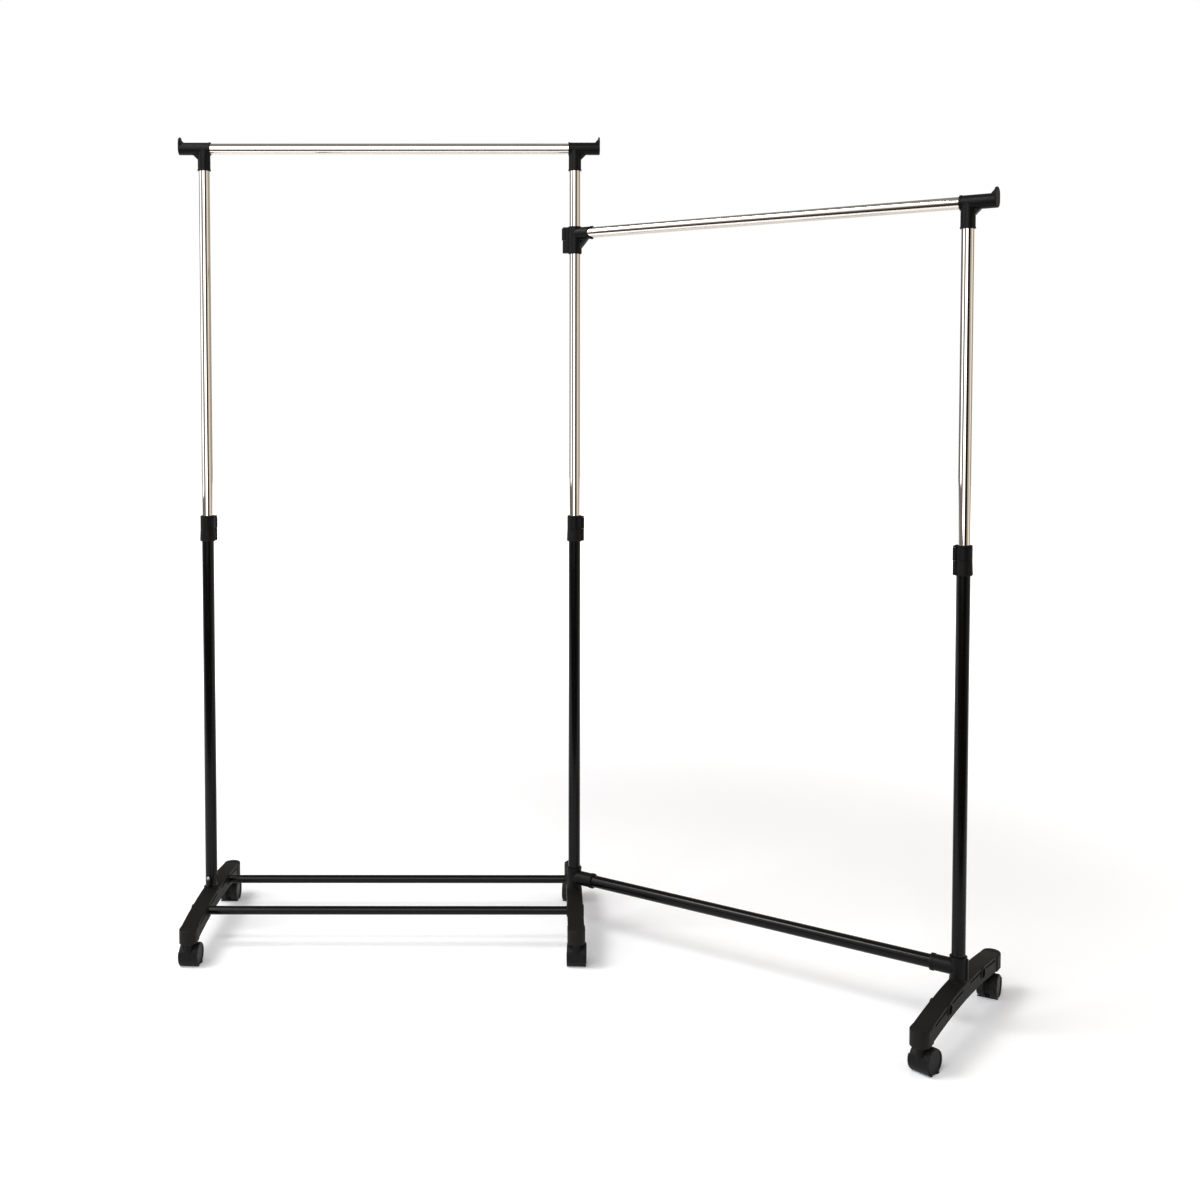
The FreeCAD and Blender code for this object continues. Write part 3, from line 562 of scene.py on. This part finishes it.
# %% Floor
def floor_disc(radius, near_edge):
    """Flat disc: x = radius * cosine, y = near edge + radius + radius * sine, z = 0."""
    rim = np.linspace(0, 2 * math.pi, 96, endpoint=False)
    mesh = bpy.data.meshes.new("floor")
    ring = np.stack([radius * np.cos(rim), near_edge + radius + radius * np.sin(rim), 0 * rim], axis=1)
    mesh.from_pydata(ring, [], [range(96)])
    finish = Finish("pale_floor", Roughness=0.8, Emission_Strength=1.0)
    place = finish.place()
    cloud = finish.noise(place, 1.5, 2.0)
    away = finish.node("VectorMath", {"operation": "LENGTH"}, {0: place}, out="Value")
    near, far = (0.10, 0.11, 0.13), (0.96, 0.97, 0.99)
    finish.set("Emission Color", finish.mix(finish.step(away, 0.8, 3.6), near, far))
    finish.set("Base Color", finish.mix(cloud, (0.93, 0.93, 0.93), (0.91, 0.91, 0.91)))
    mesh.materials.append(finish.material)
    disc = bpy.data.objects.new("floor", mesh)
    bpy.context.scene.collection.objects.link(disc)
    return disc


floor_disc(9.0, -1.3)

# %% [markdown]
# ## A room to reflect
#
# In an all-white room chrome looks like white plastic. A studio sets dark and warm
# panels round the camera, and their reflections draw the lines on the tubes. Here the
# world plays that room. Its colour depends on compass direction, in degrees from the
# front towards +X, and on height. A point at the share s of an upright tube's radius
# shows the direction 2 * arcsine(s), so a panel's width sets its line's width. The
# camera itself sees plain white behind the rack.

# %% World
def room():
    """World shader: dark front, warm right, grey left, then window, ceiling and ground on top."""
    world = bpy.data.worlds.new("studio")
    bpy.context.scene.world = world
    world.use_nodes = True
    finish = Finish.__new__(Finish)
    finish.tree = world.node_tree
    back = world.node_tree.nodes["Background"]
    towards = finish.node("TexCoord", out="Generated")
    split = finish.tree.nodes.new("ShaderNodeSeparateXYZ")
    finish.plug(split.inputs[0], towards)
    x, y, z = (Wire(finish, s) for s in split.outputs)
    turn = finish.node("Math", {"operation": "ARCTAN2"}, {0: x, 1: 0.0 - y}) * (180 / math.pi)
    rise = finish.node("Math", {"operation": "ARCSINE"}, {0: z}) * (180 / math.pi)

    def above(value, edge, soft=1.5):
        return finish.step(value, edge - soft, edge + soft)

    def between(value, low, high, soft=1.5):
        return above(value, low, soft) * (1.0 - above(value, high, soft))

    def layer(under, mask, colour):
        return finish.node("Mix", {"data_type": "RGBA"}, {0: mask, 6: under, 7: (*colour, 1)}, out=2)

    warm, dark, grey = (0.56, 0.515, 0.45), (0.034, 0.027, 0.022), (0.27, 0.25, 0.245)
    window, back_wall = (1.30, 1.28, 1.26), (0.26, 0.25, 0.255)
    ceiling, ground = (0.40, 0.385, 0.372), (0.075, 0.058, 0.045)
    seen = finish.mix(above(turn, 66, 6), dark, warm)
    seen = layer(seen, 1.0 - above(turn, -30, 4), grey)
    seen = layer(seen, between(turn, -82, -30, 3) * above(rise, 9.5), window)
    seen = layer(seen, 1.0 - above(turn, -103, 3), back_wall)
    seen = layer(seen, above(rise, 46, 3), ceiling)
    seen = layer(seen, (1.0 - above(rise, -8)) * between(turn, -100, 100, 6), ground)
    camera_ray = finish.node("LightPath", out="Is Camera Ray")
    finish.plug(back.inputs["Color"], layer(seen, camera_ray, (1.0, 1.0, 1.0)))
    return world


room()

# %% [markdown]
# ## Softboxes
#
# Two tall softboxes stand in front and on the left, and their reflections are the two
# white bands of an upright chrome tube, with the grey gap between them. Gloss black
# reflects only a small part of what it sees, so its highlights need something much
# brighter: a box high on the left draws the line along the wing's lower bar, and a long
# strip adds to the lines along the floor rods. It is kept mild, because a very bright
# thin lamp makes ragged dots in chrome. A large beige board on the right fills that side
# with weak warm light. A softbox is described by its radiance, because that is what a
# reflection shows. Its power is radiance * pi * area.

# %% Softboxes
def softbox(name, place, facing, size, radiance, colour=(1.0, 1.0, 1.0)):
    """Rectangle of light at a place, turned so that it shines in the facing direction."""
    light = bpy.data.lights.new(name, "AREA")
    light.shape, light.size, light.size_y = "RECTANGLE", *size
    light.energy, light.color = radiance * math.pi * size[0] * size[1], colour
    holder = bpy.data.objects.new(name, light)
    holder.location, holder.visible_camera = place, False
    dx, dy, dz = np.asarray(facing, float) / np.linalg.norm(facing)
    holder.rotation_euler = (math.acos(-dz), 0.0, math.atan2(dy, dx) - math.pi / 2)
    bpy.context.scene.collection.objects.link(holder)
    print(f"{name}: {size[0]} by {size[1]} m, {light.energy:.0f} W")
    return holder


softbox("front", (-1.08, -3.45, 2.60), (0.0, 1.0, 0.0), (2.65, 4.1), 2.5)
softbox("left", (-4.20, -0.40, 2.60), (1.0, 0.0, 0.0), (2.75, 3.8), 1.7)
softbox("high", (-2.60, -0.95, 4.40), (2.5, 0.9, -3.6), (1.7, 1.7), 11.0)
softbox("strip", (-1.00, -2.50, 3.40), (0.0, 2.4, -3.2), (2.8, 0.50), 7.0)
softbox("beige_board", (3.17, -1.70, 2.25), (-3.17, 1.70, 0.0), (3.1, 4.5), 0.62, (1.0, 0.93, 0.82))

# %% [markdown]
# ## Camera
#
# The camera stands a little under three metres in front, at chest height, looking
# very slightly down. The frame is shifted so that the rack sits a little left of and
# above its middle. A gamma a little under one deepens the blacks, as a print would.

# %% Camera
lens = bpy.data.cameras.new("camera")
tilt_down, turn_left = math.radians(2.46), math.radians(0.1)
lens.sensor_width, lens.lens = 36.0, 41.55      # millimetres
lens.shift_x, lens.shift_y = 0.0492, -0.1205
camera = bpy.data.objects.new("camera", lens)
camera.location = (-0.067, -2.966, 1.1605)
camera.rotation_euler = (math.pi / 2 - tilt_down, 0.0, turn_left)
bpy.context.scene.collection.objects.link(camera)
bpy.context.scene.camera = camera
bpy.context.scene.view_settings.view_transform = "Standard"
bpy.context.scene.view_settings.gamma = 0.86
